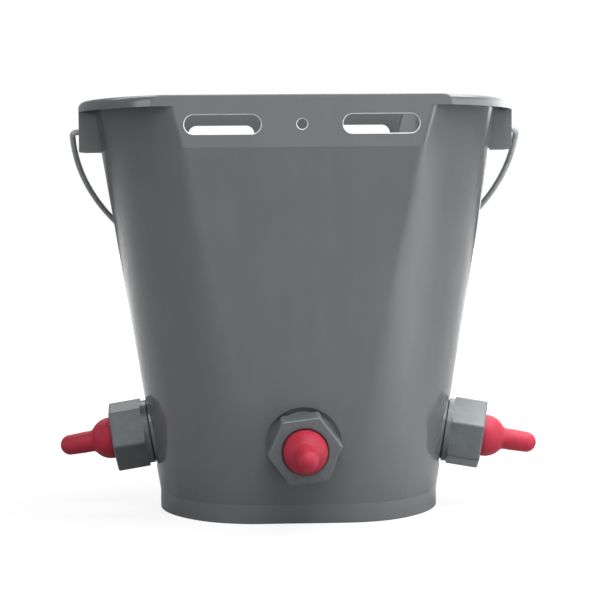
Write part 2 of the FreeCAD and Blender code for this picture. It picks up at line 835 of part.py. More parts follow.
def make_bail():
    """The wire bail in its own plane: a half hoop, a bend at each ear, and a hook inside it."""
    body = new_body("bail_handle")
    reach = flange_reach + bail_side_gap + bail_wire / 2
    hook_across = ear_reach - ear_wall - bail_bend - bail_rest_gap
    hook_end = bail_bend + bail_hook
    path = new_sketch(body, "bail_path")
    r, b, k, e = reach.number, bail_bend.number, hook_across.number, hook_end.number
    quarter = math.pi / 2
    axis = Vector(0, 0, 1)

    def arc(x, y, radius, start, end):
        whole = Part.Circle(Vector(x, y, 0), axis, radius)
        return path.addGeometry(Part.ArcOfCircle(whole, start, end), False)

    def line(x_start, y_start, x_end, y_end):
        ends = (Vector(x_start, y_start, 0), Vector(x_end, y_end, 0))
        return path.addGeometry(Part.LineSegment(*ends), False)

    right_hook = line(k, -e, k, -b)
    right_turn = arc(k + b, -b, b, quarter, 2 * quarter)
    right_pin = line(k + b, 0, r - b, 0)
    right_bend = arc(r - b, b, b, -quarter, 0)
    hoop = arc(0, b, r, 0, 2 * quarter)
    left_bend = arc(b - r, b, b, 2 * quarter, 3 * quarter)
    left_pin = line(b - r, 0, -k - b, 0)
    left_turn = arc(-k - b, -b, b, 0, quarter)
    left_hook = line(-k, -b, -k, -e)
    joints = (
        (right_hook, 2, right_turn, 2), (right_turn, 1, right_pin, 1), (right_pin, 2, right_bend, 1),
        (right_bend, 2, hoop, 1), (hoop, 2, left_bend, 1), (left_bend, 2, left_pin, 1),
        (left_pin, 2, left_turn, 2), (left_turn, 1, left_hook, 1),
    )
    for joint in joints:
        path.addConstraint(Sketcher.Constraint("Tangent", *joint))
    for hook in (right_hook, left_hook):
        path.addConstraint(Sketcher.Constraint("Vertical", hook))
    for pin in (right_pin, left_pin):
        path.addConstraint(Sketcher.Constraint("Horizontal", pin))
        path.addConstraint(Sketcher.Constraint("PointOnObject", pin, 1, -1))
    dimension(path, "Radius", (hoop,), reach)
    path.addConstraint(Sketcher.Constraint("PointOnObject", hoop, 3, -2))
    dimension(path, "DistanceY", (-1, 1, hoop, 1), bail_bend)
    dimension(path, "Radius", (right_bend,), bail_bend)
    for other in (left_bend, right_turn, left_turn):
        path.addConstraint(Sketcher.Constraint("Equal", right_bend, other))
    dimension(path, "DistanceX", (-1, 1, right_hook, 1), hook_across)
    dimension(path, "DistanceX", (left_hook, 2, -1, 1), hook_across)
    dimension(path, "DistanceY", (right_hook, 1, -1, 1), hook_end)
    dimension(path, "DistanceY", (left_hook, 2, -1, 1), hook_end)
    section = new_sketch(body, "bail_section", "XZ_Plane", hook_end)
    circle(section, bail_wire / 2, hook_across, 0.0)
    pipe = body.newObject("PartDesign::AdditivePipe", "bail_wire")
    pipe.Profile = section
    pipe.Spine = (path, [])
    doc.recompute()
    return body


def swing(body, angle):
    """Hangs the bail in its ears, angle degrees below level towards the back."""
    tilt = Rotation(Vector(1, 0, 0), -angle)
    body.Placement = Placement(Vector(0, 0, pivot_level.number), tilt)
    bind(body, "Placement.Base.z", pivot_level)
    doc.recompute()


def rest(body, shell):
    """Swings the bail down until it all but touches the back of the shell.

    Each step turns it by no more than the gap still left at the wire's reach.
    """
    reach = flange_reach + bail_side_gap + bail_wire / 2 + bail_bend
    low, high = foot_height.number, band_level.number
    wall_faces = [face for face in shell.Shape.Faces if low < face.CenterOfMass.z < high]
    outside = Part.Compound(wall_faces)
    angle = bail_first_angle.number
    spare = bail_rest_gap.number
    while spare > bail_rest_gap.number * 0.01:
        swing(body, angle)
        spare = outside.distToShape(body.Shape)[0] - bail_rest_gap.number
        angle += math.degrees(max(spare, 0.0) / reach.number)
    print("bail rests", round(angle, 3), "degrees below level")


bucket = new_body("bucket_shell")
add_flange(bucket)
add_ears(bucket)
add_walls(bucket)
cut_cavity(bucket)
add_seats(bucket)
cut_hanging_holes(bucket)
cut_bail_holes(bucket)
finish_edges(bucket)
bail = make_bail()
rest(bail, bucket)
parts = [bucket, bail]
for unit in units:
    parts += make_unit(unit)
doc.recompute()

# Checks, then one file for each piece

for item in doc.Objects:
    if "Invalid" in item.State or "Error" in item.State:
        raise RuntimeError(item.Label + " failed: " + str(item.State))
os.makedirs("parts", exist_ok=True)
for part in parts:
    if part.Shape.isNull() or not part.Shape.isValid():
        raise RuntimeError(part.Label + " has no valid shape")
    print(part.Label, round(part.Shape.Volume), len(part.Shape.Solids))
    part.Shape.exportStep("parts/%s.step" % part.Label)
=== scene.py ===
# %% [markdown]
# # Goat milk feeder bucket
#
# The real thing is a moulded plastic bucket with rubber teats near its foot, hung on a fence by the slots under its
# rim. The construction model already holds every size, so it is loaded first and stays fixed. Each later step either
# gives one of its pieces a better finish, or stands a finer piece in its place.

import json
import math

import bmesh
import bpy
from mathutils import Matrix, Vector

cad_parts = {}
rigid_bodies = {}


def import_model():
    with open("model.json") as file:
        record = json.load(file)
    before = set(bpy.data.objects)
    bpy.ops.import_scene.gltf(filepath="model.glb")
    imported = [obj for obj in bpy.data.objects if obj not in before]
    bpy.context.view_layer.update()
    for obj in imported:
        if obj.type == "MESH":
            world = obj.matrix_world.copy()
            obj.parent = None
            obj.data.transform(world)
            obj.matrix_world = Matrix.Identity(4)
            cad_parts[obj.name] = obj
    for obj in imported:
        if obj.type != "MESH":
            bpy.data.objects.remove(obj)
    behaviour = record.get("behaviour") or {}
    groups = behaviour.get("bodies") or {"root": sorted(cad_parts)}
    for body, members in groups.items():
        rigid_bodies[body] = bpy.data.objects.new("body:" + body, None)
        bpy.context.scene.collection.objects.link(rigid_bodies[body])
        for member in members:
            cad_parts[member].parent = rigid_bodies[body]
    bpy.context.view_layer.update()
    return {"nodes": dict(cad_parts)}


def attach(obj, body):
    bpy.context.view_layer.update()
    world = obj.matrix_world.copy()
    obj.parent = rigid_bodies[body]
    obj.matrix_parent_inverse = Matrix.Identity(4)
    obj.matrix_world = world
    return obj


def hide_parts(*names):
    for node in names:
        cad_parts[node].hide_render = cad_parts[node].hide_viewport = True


for leftover in list(bpy.data.objects):
    bpy.data.objects.remove(leftover)
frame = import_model()

# %% [markdown]
# Blender counts in metres and shades with linear colours. A maker's drawing is in millimetres, and a paint chart in
# sRGB hex values, so two short functions translate both.


# %% Units and colours
def mm(*sizes):
    """Millimetres as metres: one number, or a vector of three."""
    return sizes[0] / 1000 if len(sizes) == 1 else Vector(sizes) / 1000


def linear(hex_colour):
    """An sRGB hex colour as the linear colour that shaders use."""
    channels = [int(hex_colour[i:i + 2], 16) / 255 for i in (1, 3, 5)]
    return [c / 12.92 if c <= 0.04045 else ((c + 0.055) / 1.055) ** 2.4 for c in channels] + [1.0]


def per_metre(size):
    """The scale of a pattern whose features are that many millimetres across."""
    return 1000 / size


print("a 4 mm wire is", mm(4), "m; mid grey is", [round(v, 3) for v in linear("#808080")])

# %% [markdown]
# A material is a small graph of nodes. One function adds any node: a value is typed into its socket, and another
# node's output is wired to it. The rest are that function with the settings that come back again and again: a noise
# pattern with features of a given size, a blend of two colours that follows a pattern, a bump of a given height, and
# arithmetic.


# %% Nodes
def add_node(tree, kind, inputs=None, **settings):
    """One shader node with its settings; an input that is a socket is linked."""
    node = tree.nodes.new(kind)
    for name, value in settings.items():
        setattr(node, name, value)
    for socket, value in (inputs or {}).items():
        if isinstance(value, bpy.types.NodeSocket):
            tree.links.new(value, node.inputs[socket])
        else:
            node.inputs[socket].default_value = value
    return node


def noise(tree, place, size, detail, roughness=0.5, distortion=0.0):
    """A cloudy pattern with features of that size in mm, as a socket with values about 0.5."""
    return add_node(tree, "ShaderNodeTexNoise", {
        "Vector": place, "Scale": per_metre(size), "Detail": detail, "Roughness": roughness,
        "Distortion": distortion}).outputs["Fac"]


def blend(tree, pattern, low_colour, high_colour, low=0.0, high=1.0):
    """A colour that goes from one hex colour to another as the pattern goes from low to high."""
    ramp = add_node(tree, "ShaderNodeValToRGB", {"Fac": pattern})
    for stop, position, colour in zip(ramp.color_ramp.elements, (low, high), (low_colour, high_colour)):
        stop.position = position
        stop.color = linear(colour)
    return ramp.outputs["Color"]


def spread(tree, pattern, low, high, low_result=0.0, high_result=1.0):
    """A value that goes from one result to another as the pattern goes from low to high, and stays there."""
    return add_node(tree, "ShaderNodeMapRange", {
        "Value": pattern, "From Min": low, "From Max": high, "To Min": low_result,
        "To Max": high_result}).outputs["Result"]


def bump(tree, pattern, strength, height):
    """A surface raised by the pattern, to that height in mm."""
    return add_node(tree, "ShaderNodeBump", {
        "Height": pattern, "Strength": strength, "Distance": mm(height)}).outputs["Normal"]


def arithmetic(tree, operation, first, second=0.0):
    """One step of arithmetic on two values, each a number or a socket; the result's socket."""
    return add_node(tree, "ShaderNodeMath", {0: first, 1: second}, operation=operation).outputs["Value"]


def length(tree, vector):
    """The length of a vector, as a socket."""
    return add_node(tree, "ShaderNodeVectorMath", {0: vector}, operation="LENGTH").outputs["Value"]


def new_material(name):
    """An empty material: its node tree, and the Object coordinates that its patterns read."""
    material = bpy.data.materials.new(name)
    material.use_nodes = True
    tree = material.node_tree
    tree.nodes.clear()
    place = add_node(tree, "ShaderNodeTexCoord").outputs["Object"]
    return material, tree, place


print("a 2.5 mm pattern has a scale of", per_metre(2.5))

# %% [markdown]
# ## Moulded polypropylene
#
# The shell is injection moulded polypropylene, coloured dark grey in the melt. The mould was polished, so the wall
# mirrors its surroundings softly. The melt leaves faint streaks where it ran up the walls, the cooling skin has a
# fine orange peel, and handling leaves a thin haze of rubs. Each is a noise pattern of its own: the streaks, stretched
# upwards, vary the grey, the peel is used as a bump, and the rubs vary the roughness, since an even gloss is what
# makes plastic look drawn.

# %% Shell patterns
polypropylene, tree, place = new_material("moulded_polypropylene_dark_grey")
upright = add_node(tree, "ShaderNodeMapping", {"Vector": place, "Scale": (1.0, 1.0, 0.06)}).outputs["Vector"]
streaks = noise(tree, upright, 14, 4.0, 0.6)
clouds = noise(tree, place, 55, 3.0)
peel = noise(tree, place, 1.6, 2.0)
rubs = noise(tree, place, 9, 6.0, 0.7, 0.8)
mottle = add_node(tree, "ShaderNodeMix", {0: 0.55, 2: streaks, 3: clouds}, data_type="FLOAT").outputs[0]
grey = blend(tree, mottle, "#535557", "#595b5d", 0.3, 0.7)
gloss = spread(tree, rubs, 0.3, 0.75, 0.1, 0.2)
skin = bump(tree, peel, 0.15, 0.03)
print("patterns read from", place.name, "coordinates")

# %% [markdown]
# A thin pale line round each slot and middle hole is a painted highlight, standing for the light on the openings'
# edges.
# The line follows the openings' outlines, so it is worked out from them: the distance to a slot is that to a straight
# line of some length, less the slot's end radius, and the distance to a hole is that to a point, less its radius. The
# inside of an opening has the plain colour, so a second mask keeps the line to the outer face.

# %% Painted highlight round the openings
band_level, slot_middle, slot_half_straight, slot_radius, hole_radius = 260.6, 50.65, 18.35, 6.1, 3.3
spot = add_node(tree, "ShaderNodeSeparateXYZ", {"Vector": place}).outputs
off_centre = arithmetic(tree, "ABSOLUTE", spot["X"])
height = arithmetic(tree, "SUBTRACT", spot["Z"], mm(band_level))
from_middle = arithmetic(tree, "ABSOLUTE", arithmetic(tree, "SUBTRACT", off_centre, mm(slot_middle)))
past_straight = arithmetic(tree, "SUBTRACT", from_middle, mm(slot_half_straight))
past_straight = arithmetic(tree, "MAXIMUM", past_straight, 0.0)
across_slot = add_node(tree, "ShaderNodeCombineXYZ", {"X": past_straight, "Y": height}).outputs["Vector"]
across_hole = add_node(tree, "ShaderNodeCombineXYZ", {"X": off_centre, "Y": height}).outputs["Vector"]
slot_gap = arithmetic(tree, "SUBTRACT", length(tree, across_slot), mm(slot_radius))
hole_gap = arithmetic(tree, "SUBTRACT", length(tree, across_hole), mm(hole_radius))
edge_gap = arithmetic(tree, "MINIMUM", slot_gap, hole_gap)
near_edge = spread(tree, edge_gap, mm(0.3), mm(0.65), 1.0, 0.0)
off_panel = arithmetic(tree, "ABSOLUTE", spot["Y"])
in_face = spread(tree, off_panel, mm(108.0), mm(108.6))
# mask of the painted highlight along the openings' outer edges
painted_opening_highlight = arithmetic(tree, "MULTIPLY", near_edge, in_face)
print("the pale lines lie", band_level, "mm up")

# %% [markdown]
# The pale line is mixed over the grey. One Principled shader then takes the colour, the gloss and the peel.

# %% Shell material
# painted highlight: pale grey #c6c8ca laid over the shell's grey round the openings
grey_with_opening_highlight = add_node(tree, "ShaderNodeMix", {
    0: painted_opening_highlight, 6: grey, 7: linear("#c6c8ca")}, data_type="RGBA").outputs[2]
plastic = add_node(tree, "ShaderNodeBsdfPrincipled", {
    "Base Color": grey_with_opening_highlight, "Roughness": gloss, "IOR": 1.49, "Normal": skin})
add_node(tree, "ShaderNodeOutputMaterial", {"Surface": plastic.outputs["BSDF"]})
print("made", polypropylene.name)

# %% [markdown]
# ## The nuts' and barrels' plastic
#
# The cap nuts and the barrels behind them come from other moulds, with a spark-eroded finish that scatters more
# light. Their grey is a touch cooler. The grain is about a third of a millimetre, and is drawn a little coarser here
# so that it still shows at the size of the picture. The nuts' convex edges are lightened as a painted highlight.

# %% Nut and barrel materials
nut_plastic, tree, place = new_material("moulded_polypropylene_satin_grey")
grain = noise(tree, place, 0.8, 2.0)
scuffs = noise(tree, place, 6, 5.0, 0.65)
grey = blend(tree, scuffs, "#4b5053", "#575c5f", 0.3, 0.72)
# painted highlight: the convex edges, found by pointiness, are lightened towards #7e8385
edge = add_node(tree, "ShaderNodeNewGeometry").outputs["Pointiness"]
painted_edge_highlight = spread(tree, edge, 0.52, 0.6, 0.0, 0.35)
nut_grey_with_edge_highlight = add_node(tree, "ShaderNodeMix", {
    0: painted_edge_highlight, 6: grey, 7: linear("#7e8385")}, data_type="RGBA").outputs[2]
gloss = spread(tree, scuffs, 0.3, 0.7, 0.3, 0.44)
skin = bump(tree, grain, 0.3, 0.05)
plastic = add_node(tree, "ShaderNodeBsdfPrincipled", {
    "Base Color": nut_grey_with_edge_highlight, "Roughness": gloss, "IOR": 1.49, "Normal": skin})
add_node(tree, "ShaderNodeOutputMaterial", {"Surface": plastic.outputs["BSDF"]})

barrel_plastic, tree, place = new_material("moulded_polypropylene_barrel_grey")
flow = noise(tree, place, 8, 4.0, 0.6)
grey = blend(tree, flow, "#3d4143", "#4c5053")
skin = bump(tree, flow, 0.2, 0.08)
plastic = add_node(tree, "ShaderNodeBsdfPrincipled", {
    "Base Color": grey, "Roughness": 0.42, "IOR": 1.49, "Normal": skin})
add_node(tree, "ShaderNodeOutputMaterial", {"Surface": plastic.outputs["BSDF"]})
print("made", nut_plastic.name, "and", barrel_plastic.name)

# %% [markdown]
# ## Red teat rubber and black gasket rubber
#
# The teats are compression moulded natural rubber, soft and slightly translucent: light enters the surface and comes
# out a millimetre or so away, which a little subsurface scattering gives. Rubber has no polish, so its highlights are
# broad, and its bloom, the wax that works its way out, greys it in patches. The gaskets are black synthetic rubber
# with the same broad highlight and no glow.

# %% Rubber materials
teat_rubber, tree, place = new_material("moulded_natural_rubber_red")
bloom = noise(tree, place, 7, 4.0, 0.6)
pores = noise(tree, place, 0.9, 2.0, 0.6)
red = blend(tree, bloom, "#92122a", "#a01f38", 0.32, 0.75)
gloss = spread(tree, bloom, 0.3, 0.7, 0.55, 0.65)
skin = bump(tree, pores, 0.35, 0.06)
rubber = add_node(tree, "ShaderNodeBsdfPrincipled", {
    "Base Color": red, "Roughness": gloss, "IOR": 1.52, "Normal": skin,
    "Specular IOR Level": 0.35,
    "Subsurface Weight": 0.12, "Subsurface Radius": (1.0, 0.25, 0.2), "Subsurface Scale": mm(1.5)})
add_node(tree, "ShaderNodeOutputMaterial", {"Surface": rubber.outputs["BSDF"]})

gasket_rubber, tree, place = new_material("moulded_synthetic_rubber_black")
dust = noise(tree, place, 3, 5.0, 0.6)
black = blend(tree, dust, "#131314", "#232425")
skin = bump(tree, dust, 0.3, 0.05)
rubber = add_node(tree, "ShaderNodeBsdfPrincipled", {
    "Base Color": black, "Roughness": 0.6, "IOR": 1.52, "Normal": skin})
add_node(tree, "ShaderNodeOutputMaterial", {"Surface": rubber.outputs["BSDF"]})
print("made", teat_rubber.name, "and", gasket_rubber.name)

# %% [markdown]
# ## Galvanised wire, stainless steel and the cage's plastic
#
# The bail is drawn steel wire, dipped in zinc. Fresh zinc is bright, but it soon takes a dull grey skin with a cell
# pattern, the spangle. On a thin wire the cells are small and mostly change how sharp the reflections are, so a
# Voronoi pattern drives the roughness. The valve's ball is polished stainless steel and its cage natural acetal,
# hard, waxy and off-white. Neither shows from outside, but both do once a teat is taken off.

# %% Metal and cage materials
galvanised, tree, place = new_material("hot_dip_galvanised_steel_wire")
spangle = add_node(tree, "ShaderNodeTexVoronoi", {"Vector": place, "Scale": per_metre(2.5)}).outputs["Color"]
drawn = noise(tree, place, 1.2, 3.0, 0.6)
cells = add_node(tree, "ShaderNodeSeparateColor", {"Color": spangle}).outputs["Red"]
zinc = blend(tree, cells, "#8e9194", "#a0a3a6")
gloss = spread(tree, cells, 0.0, 1.0, 0.36, 0.55)
skin = bump(tree, drawn, 0.3, 0.06)
steel = add_node(tree, "ShaderNodeBsdfPrincipled", {
    "Base Color": zinc, "Metallic": 0.2, "Roughness": gloss, "Normal": skin})
add_node(tree, "ShaderNodeOutputMaterial", {"Surface": steel.outputs["BSDF"]})

stainless, tree, place = new_material("polished_stainless_steel")
lap = noise(tree, place, 0.7, 4.0, 0.6)
gloss = spread(tree, lap, 0.0, 1.0, 0.08, 0.2)
steel = add_node(tree, "ShaderNodeBsdfPrincipled", {
    "Base Color": linear("#c9c8c5"), "Metallic": 1.0, "Roughness": gloss})
add_node(tree, "ShaderNodeOutputMaterial", {"Surface": steel.outputs["BSDF"]})

acetal, tree, place = new_material("moulded_acetal_natural_white")
flow = noise(tree, place, 4, 3.0)
white = blend(tree, flow, "#d6d4cc", "#e4e2da")
plastic = add_node(tree, "ShaderNodeBsdfPrincipled", {
    "Base Color": white, "Roughness": 0.35, "IOR": 1.48, "Subsurface Weight": 0.1,
    "Subsurface Scale": mm(1)})
add_node(tree, "ShaderNodeOutputMaterial", {"Surface": plastic.outputs["BSDF"]})
print("made", galvanised.name, stainless.name, "and", acetal.name)

# %% [markdown]
# ## Pieces that keep their construction shape
#
# The shell, barrels, gaskets, valve balls and cages have the right shape already, with exact normals from the
# construction model, so they only get their materials. The material goes into each object's own slot.

# %% Dress the construction pieces
finishes = {"bucket_shell": polypropylene}
for side in ("left", "front", "right"):
    finishes[side + "_spigot"] = barrel_plastic
    finishes[side + "_inner_gasket"] = gasket_rubber
    finishes[side + "_outer_gasket"] = gasket_rubber
    finishes[side + "_valve_ball"] = stainless
    finishes[side + "_valve_cage"] = acetal
for name, material in finishes.items():
    frame["nodes"][name].material_slots[0].material = material
print("dressed", len(finishes), "construction pieces")

# %% [markdown]
# ## Where the teat units sit
#
# Each unit stands square to its seat in the sloping wall, so its axis points a little down. It is easiest to model a
# unit upright at the origin, with its seat at height zero and its mouth upwards, and to put it in place at the end
# with one matrix. The object itself stays at the origin.

# %% Slope of the walls
seat_level, foot_level, rim_level = 52.5, 12.5, 246.0
side_foot, side_rim, panel_foot, panel_rim = 95.7, 133.6, 83.9, 109.2
side_slope = math.degrees(math.atan2(side_rim - side_foot, rim_level - foot_level))
front_slope = 3
rise = (seat_level - foot_level) / (rim_level - foot_level)
side_wall = side_foot + (side_rim - side_foot) * rise
panel_wall = panel_foot + (panel_rim - panel_foot) * rise
print("the side teats point down by", round(side_slope, 2), "degrees, the front one by", front_slope)


# %% Place of a unit
def unit_place(turn, wall_distance, slope, sink):
    """From a unit modelled upright to its seat: turned about the bucket, leant outwards, set on the wall."""
    lean = Matrix.Rotation(math.radians(turn), 4, "Z") @ Matrix.Rotation(math.radians(90 + slope), 4, "Y")
    outwards = lean.to_3x3() @ Vector((0, 0, 1))
    level = Matrix.Rotation(math.radians(turn), 3, "Z") @ Vector((1, 0, 0))
    seat = level * mm(wall_distance) + Vector((0, 0, mm(seat_level))) - outwards * mm(sink)
    return Matrix.Translation(seat) @ lean


units = {
    "left": (unit_place(180, side_wall, side_slope, 1), 19),
    "front": (unit_place(-90, panel_wall, front_slope, 1.5), 37.4),
    "right": (unit_place(-7, side_wall, side_slope, 1), 10),
}
print("seats:", {side: [round(c, 3) for c in place.translation] for side, (place, nut_turn) in units.items()})


# %% Turn a finished bmesh into a piece
def finish_piece(shape, name, node, body, material, place=Matrix.Identity(4), sharp=32):
    """Smooths the faces, keeps edges over the sharp angle crisp, and stands the piece in for its node."""
    bmesh.ops.transform(shape, matrix=place, verts=shape.verts)
    bmesh.ops.remove_doubles(shape, verts=shape.verts, dist=mm(0.002))
    bmesh.ops.recalc_face_normals(shape, faces=shape.faces)
    for face in shape.faces:
        face.smooth = True
    for crease in shape.edges:
        crease.smooth = crease.calc_face_angle(0.0) < math.radians(sharp)
    mesh = bpy.data.meshes.new(name)
    shape.to_mesh(mesh)
    shape.free()
    piece = bpy.data.objects.new(name, mesh)
    bpy.context.scene.collection.objects.link(piece)
    mesh.materials.append(material)
    evened = piece.modifiers.new("even_normals", "WEIGHTED_NORMAL")
    evened.keep_sharp = True
    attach(piece, body)
    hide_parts(node)
    print(name, len(mesh.polygons), "faces")


# %% [markdown]
# ## Cap nuts
#
# A cap nut is a hexagonal cap with a round collar at the wall, and a lip that holds the teat's flange. It could be
# cut with Booleans, but one outline carried round works better: a circle is pulled out into the collar, the collar's
# top loop is pushed onto a hexagon, and the hexagon is pulled up and folded in over the face and down the bore. Every
# corner then lies on clean rings of faces that bevel evenly, and rounded edges are what catches the light on
# moulded plastic.


# %% Nut tools
def pull(shape, loop, lift=0.0, radius=None):
    """Extrudes a loop of edges, moves it up by lift, and puts it on a circle if a radius is given. Sizes in mm."""
    made = bmesh.ops.extrude_edge_only(shape, edges=loop)["geom"]
    corners = [item for item in made if isinstance(item, bmesh.types.BMVert)]
    bmesh.ops.translate(shape, verts=corners, vec=mm(0, 0, lift))
    if radius is not None:
        for corner in corners:
            corner.co.xy = corner.co.xy.normalized() * mm(radius)
    return [item for item in made if isinstance(item, bmesh.types.BMEdge)
            and item.verts[0] in corners and item.verts[1] in corners]


def onto_hexagon(loop, flats, turn):
    """Pushes a loop's vertices outwards onto a hexagon of that width across its flats."""
    for corner in {vertex for rim in loop for vertex in rim.verts}:
        angle = math.degrees(math.atan2(corner.co.y, corner.co.x)) - turn
        off_flat = math.radians(angle % 60 - 30)
        corner.co.xy = corner.co.xy.normalized() * mm(flats / 2) / math.cos(off_flat)


# %% Model the three nuts
nut_back, nut_face, collar_top = 1.2, 27.2, 5.0
flats, collar_radius, bore_radius, mouth_radius, lip = 42.4, 21.8, 17.2, 14.6, 3.0
corner_round, face_round = 1.2, 1.4
for side, (place, nut_turn) in units.items():
    nut = bmesh.new()
    bmesh.ops.create_circle(nut, segments=96, radius=mm(bore_radius))
    bmesh.ops.rotate(nut, verts=nut.verts, matrix=Matrix.Rotation(math.radians(nut_turn), 3, "Z"))
    bmesh.ops.translate(nut, verts=nut.verts, vec=mm(0, 0, nut_back))
    start = list(nut.edges)
    collar_foot = pull(nut, start, radius=collar_radius)
    collar_edge = pull(nut, collar_foot, lift=collar_top - nut_back)
    hexagon_foot = pull(nut, collar_edge)
    onto_hexagon(hexagon_foot, flats, nut_turn)
    hexagon_face = pull(nut, hexagon_foot, lift=nut_face - collar_top)
    mouth = pull(nut, hexagon_face, radius=mouth_radius)
    lip_foot = pull(nut, mouth, lift=-lip)
    bore_top = pull(nut, lip_foot, radius=bore_radius)
    pull(nut, bore_top, lift=nut_back - nut_face + lip)
    bmesh.ops.remove_doubles(nut, verts=nut.verts, dist=mm(0.01))
    uprights = [rim for rim in nut.edges
                if abs(rim.verts[0].co.z - rim.verts[1].co.z) > mm(20)
                and rim.verts[0].co.xy.length > mm(flats / 2 / math.cos(math.radians(30)) - 0.1)]
    bmesh.ops.bevel(nut, geom=uprights, affect="EDGES", offset=mm(corner_round), segments=4, profile=0.5, material=-1)
    rims = [rim for rim in nut.edges
            if all(abs(end.co.z - mm(nut_face)) < 1e-6 for end in rim.verts) and rim.is_manifold
            and rim.calc_face_angle(0.0) > math.radians(60)]
    bmesh.ops.bevel(nut, geom=rims, affect="EDGES", offset=mm(face_round), segments=4, profile=0.5, material=-1)
    finish_piece(nut, side + "_hexagonal_cap_nut", side + "_cap_nut", "bucket", nut_plastic, place)

# %% [markdown]
# ## Teats
#
# A rubber teat is turned in every section, so its outline is drawn once and spun round. Blender's spin also draws the
# outline's arcs: a single vertex spun about a point leaves a curved row of edges behind it, as a pencil in a pair of
# compasses does. The outline runs from the clamped flange over the dome, in through the hollow under the nipple, and
# round the tip, then back down the inside.


# %% Outline tools
def line_to(outline, end, across, up):
    """Draws a straight edge from the outline's end to a point, in mm."""
    new_end = outline.verts.new(mm(across, 0, up))
    outline.edges.new((end, new_end))
    return new_end


def arc_about(outline, end, across, up, degrees, steps):
    """Carries the outline's end round a centre, in mm, and returns the new end."""
    spun = bmesh.ops.spin(outline, geom=[end], cent=mm(across, 0, up), axis=(0, 1, 0),
                          angle=math.radians(degrees), steps=steps, use_duplicate=False)
    return next(item for item in spun["geom_last"] if isinstance(item, bmesh.types.BMVert))


# %% Model the three teats
flange_back, flange_front, flange_radius, chamfer = 21.7, 24.2, 16.7, 0.2
dome_level, dome_radius, rubber = 28.7, 14.3, 2.2
root_radius, tip_radius, tip_level = 7.6, 6.95, 57.35
fillet, fillet_radius, inner_root_level = 3.0, 7.28, 39.5
taper_start, taper_radius = 5, 7.3
fillet_across = fillet_radius + fillet
fillet_up = math.sqrt((dome_radius + fillet) ** 2 - fillet_across ** 2)
dome_sweep = math.degrees(math.atan2(fillet_up, fillet_across))
for side, (place, _) in units.items():
    teat = bmesh.new()
    end = teat.verts.new(mm(dome_radius - rubber, 0, dome_level))
    end = line_to(teat, end, dome_radius - rubber, flange_back)
    end = line_to(teat, end, flange_radius - chamfer, flange_back)
    end = line_to(teat, end, flange_radius, flange_back + chamfer)
    end = line_to(teat, end, flange_radius, flange_front - chamfer)
    end = line_to(teat, end, flange_radius - chamfer, flange_front)
    end = line_to(teat, end, dome_radius, flange_front)
    end = line_to(teat, end, dome_radius, dome_level)
    end = arc_about(teat, end, 0, dome_level, -dome_sweep, 18)
    end = arc_about(teat, end, fillet_across, dome_level + fillet_up, dome_sweep, 10)
    end = line_to(teat, end, taper_radius, dome_level + fillet_up + taper_start)
    end = line_to(teat, end, tip_radius, tip_level)
    end = arc_about(teat, end, 0, tip_level, -90, 14)
    teat.verts.ensure_lookup_table()
    inner = teat.verts[0]
    end = line_to(teat, inner, root_radius - rubber, inner_root_level)
    end = line_to(teat, end, tip_radius - rubber, tip_level)
    arc_about(teat, end, 0, tip_level, -90, 8)
    bmesh.ops.remove_doubles(teat, verts=teat.verts, dist=mm(0.01))
    bmesh.ops.spin(teat, geom=list(teat.verts) + list(teat.edges), cent=(0, 0, 0), axis=(0, 0, 1),
                   angle=math.tau, steps=72, use_merge=True, use_duplicate=False)
    finish_piece(teat, side + "_rubber_teat", side + "_teat", "bucket", teat_rubber, place, sharp=50)

# %% [markdown]
# ## The bail
#
# A bail is bent from one length of wire on a jig: a short hook, a straight pin that turns in the ear, a small bend,
# and the long half hoop. The same steps work in Blender. A small circle, the wire's section, is pushed along where
# the wire runs straight, and spun about the bending pin's centre where it bends. The wire is made lying flat and
# then swung to where it hangs, behind the bucket.

# %% Bend the wire
wire, bend, hoop = 4.0, 3.5, 153.5
hook_across, hook_length = 141.8, 3.0
rest_angle, pivot_level = 44.86, 259.5


def push(shape, ring, across, out):
    """The wire's open end goes straight on, by mm across and outwards."""
    made = bmesh.ops.extrude_edge_only(shape, edges=ring)["geom"]
    corners = [item for item in made if isinstance(item, bmesh.types.BMVert)]
    bmesh.ops.translate(shape, verts=corners, vec=mm(across, out, 0))
    return [item for item in made if isinstance(item, bmesh.types.BMEdge)
            and item.verts[0] in corners and item.verts[1] in corners]


def turn(shape, ring, across, out, degrees, steps):
    """The wire's open end is bent about a pin at that place."""
    spun = bmesh.ops.spin(shape, geom=ring, cent=mm(across, out, 0), axis=(0, 0, 1),
                          angle=math.radians(degrees), steps=steps, use_duplicate=False)
    return [item for item in spun["geom_last"] if isinstance(item, bmesh.types.BMEdge)]


bail = bmesh.new()
bmesh.ops.create_circle(bail, segments=20, radius=mm(wire / 2))
bmesh.ops.rotate(bail, verts=bail.verts, matrix=Matrix.Rotation(math.radians(90), 3, "X"))
bmesh.ops.translate(bail, verts=bail.verts, vec=mm(hook_across, -bend - hook_length, 0))
first = list(bail.edges)
ring = push(bail, first, 0, hook_length)
ring = turn(bail, ring, hook_across + bend, -bend, -90, 8)
ring = push(bail, ring, hoop - 2 * bend - hook_across, 0)
ring = turn(bail, ring, hoop - bend, bend, 90, 8)
ring = turn(bail, ring, 0, bend, 180, 120)
ring = turn(bail, ring, bend - hoop, bend, 90, 8)
ring = push(bail, ring, hoop - 2 * bend - hook_across, 0)
ring = turn(bail, ring, -hook_across - bend, -bend, -90, 8)
last = push(bail, ring, 0, -hook_length)
for open_end in (first, last):
    cap = bmesh.ops.contextual_create(bail, geom=open_end)["faces"]
    bmesh.ops.bevel(bail, geom=list(cap[0].edges), affect="EDGES", offset=mm(0.35), segments=2, profile=0.5,
                    material=-1)
hang = Matrix.Translation(mm(0, 0, pivot_level)) @ Matrix.Rotation(math.radians(-rest_angle), 4, "X")
finish_piece(bail, "bail_wire", "bail_handle", "bail", galvanised, hang)

